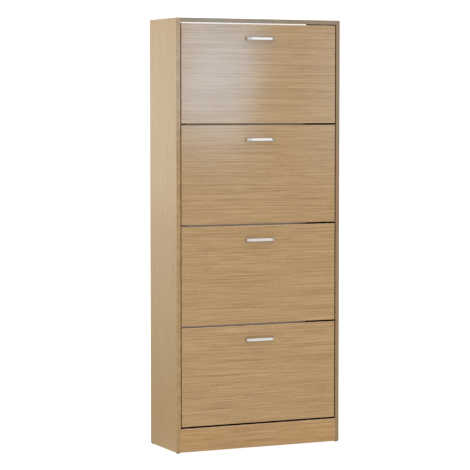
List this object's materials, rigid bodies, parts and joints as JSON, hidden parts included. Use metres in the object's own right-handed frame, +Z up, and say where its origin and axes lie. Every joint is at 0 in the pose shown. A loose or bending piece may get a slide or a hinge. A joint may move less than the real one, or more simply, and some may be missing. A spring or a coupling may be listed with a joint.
{
  "type": "shoe cabinet",
  "caption": "Tall slim shoe cabinet in light oak foil, with tilt-out flaps on side pivots, small metal bow handles and double shoe trays behind each flap.",
  "frame": {"origin": "on the floor, under the middle of the whole cabinet's box, handles and back board included", "axes": "+Z up, +X to the right seen from the front, +Y towards the back, so the flaps face -Y"},
  "size_m": [0.63, 0.2594, 1.503],
  "materials": {
    "oak_foil_board": "satin",
    "oak_foil_flap": "satin",
    "tray_board": "satin",
    "hardboard_back": "matte",
    "beech_dowel": "matte",
    "bracket_plastic": "satin",
    "glide_plastic": "satin",
    "zinc_fittings": "satin",
    "handle_metal": "satin"
  },
  "bodies": {
    "carcass": {"left_side_panel": "oak_foil_board", "right_side_panel": "oak_foil_board", "top_panel": "oak_foil_board", "bottom_panel": "oak_foil_board", "plinth_board": "oak_foil_board", "rear_plinth_rail": "oak_foil_board", "rear_middle_rail": "oak_foil_board", "rear_top_rail": "oak_foil_board", "back_panel_upper": "hardboard_back", "back_panel_lower": "hardboard_back", "floor_glides": "glide_plastic", "cam_locks": "zinc_fittings", "cam_bolts": "zinc_fittings", "wood_dowels": "beech_dowel", "back_panel_nails": "zinc_fittings", "pivot_bushings": "bracket_plastic", "pivot_pins": "zinc_fittings", "stop_pins": "zinc_fittings"},
    "flap_unit_1": {"flap_panel_1": "oak_foil_flap", "handle_1": "handle_metal", "handle_screws_1": "zinc_fittings", "bracket_left_1": "bracket_plastic", "bracket_right_1": "bracket_plastic", "bracket_screws_1": "zinc_fittings", "tray_floor_1": "tray_board", "tray_middle_1": "tray_board", "tray_rear_1": "tray_board"},
    "flap_unit_2": {"flap_panel_2": "oak_foil_flap", "handle_2": "handle_metal", "handle_screws_2": "zinc_fittings", "bracket_left_2": "bracket_plastic", "bracket_right_2": "bracket_plastic", "bracket_screws_2": "zinc_fittings", "tray_floor_2": "tray_board", "tray_middle_2": "tray_board", "tray_rear_2": "tray_board"},
    "flap_unit_3": {"flap_panel_3": "oak_foil_flap", "handle_3": "handle_metal", "handle_screws_3": "zinc_fittings", "bracket_left_3": "bracket_plastic", "bracket_right_3": "bracket_plastic", "bracket_screws_3": "zinc_fittings", "tray_floor_3": "tray_board", "tray_middle_3": "tray_board", "tray_rear_3": "tray_board"},
    "flap_unit_4": {"flap_panel_4": "oak_foil_flap", "handle_4": "handle_metal", "handle_screws_4": "zinc_fittings", "bracket_left_4": "bracket_plastic", "bracket_right_4": "bracket_plastic", "bracket_screws_4": "zinc_fittings", "tray_floor_4": "tray_board", "tray_middle_4": "tray_board", "tray_rear_4": "tray_board"}
  },
  "joints": [
    {"name": "flap_1_tilt", "type": "hinge", "parent": "carcass", "child": "flap_unit_1", "pos_m": [0, -0.08775, 1.1862], "axis": [1, 0, 0], "range_deg": [0, 50]},
    {"name": "flap_2_tilt", "type": "hinge", "parent": "carcass", "child": "flap_unit_2", "pos_m": [0, -0.08775, 0.8362], "axis": [1, 0, 0], "range_deg": [0, 50]},
    {"name": "flap_3_tilt", "type": "hinge", "parent": "carcass", "child": "flap_unit_3", "pos_m": [0, -0.08775, 0.4862], "axis": [1, 0, 0], "range_deg": [0, 50]},
    {"name": "flap_4_tilt", "type": "hinge", "parent": "carcass", "child": "flap_unit_4", "pos_m": [0, -0.08775, 0.1362], "axis": [1, 0, 0], "range_deg": [0, 50]}
  ]
}
